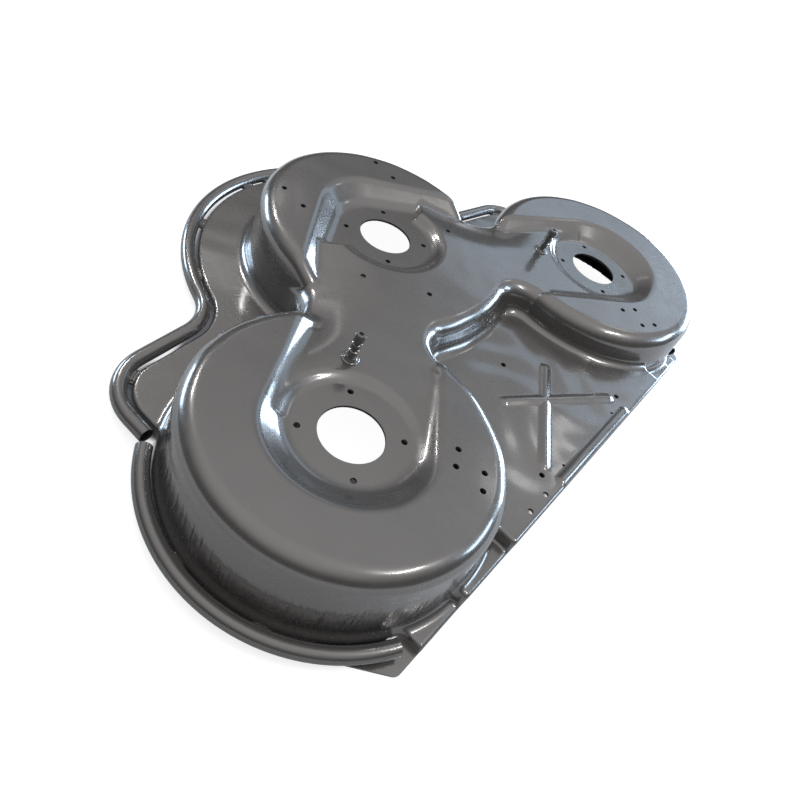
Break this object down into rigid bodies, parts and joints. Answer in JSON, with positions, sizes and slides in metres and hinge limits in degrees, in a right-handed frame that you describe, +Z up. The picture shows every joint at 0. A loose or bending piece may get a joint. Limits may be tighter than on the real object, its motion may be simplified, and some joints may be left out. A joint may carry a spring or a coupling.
{
  "type": "lawn mower deck",
  "caption": "Stamped riding mower deck shell with raised spindle rings, a scalloped front flange, welded tube bumper rails and grooved posts.",
  "frame": {"origin": "middle of the line between the two rear spindle bores, on the seat plane of the spindles", "axes": "+X to the machine's right, +Y forward towards the single leading spindle, +Z up"},
  "size_m": [1.4996, 1.0067, 0.2075],
  "materials": {
    "deck_paint": "gloss dark warm grey paint"
  },
  "bodies": {
    "root": {"deck_shell": "deck_paint", "front_rail": "deck_paint", "side_rail_left": "deck_paint", "side_rail_right": "deck_paint", "tab_front_left_inner": "deck_paint", "tab_front_left_middle": "deck_paint", "tab_front_left_outer": "deck_paint", "tab_nose_left": "deck_paint", "tab_side_left_front": "deck_paint", "tab_side_left_rear": "deck_paint", "post_left": "deck_paint", "tab_front_right_inner": "deck_paint", "tab_front_right_middle": "deck_paint", "tab_front_right_outer": "deck_paint", "tab_nose_right": "deck_paint", "tab_side_right_front": "deck_paint", "tab_side_right_rear": "deck_paint", "post_right": "deck_paint"}
  },
  "joints": []
}
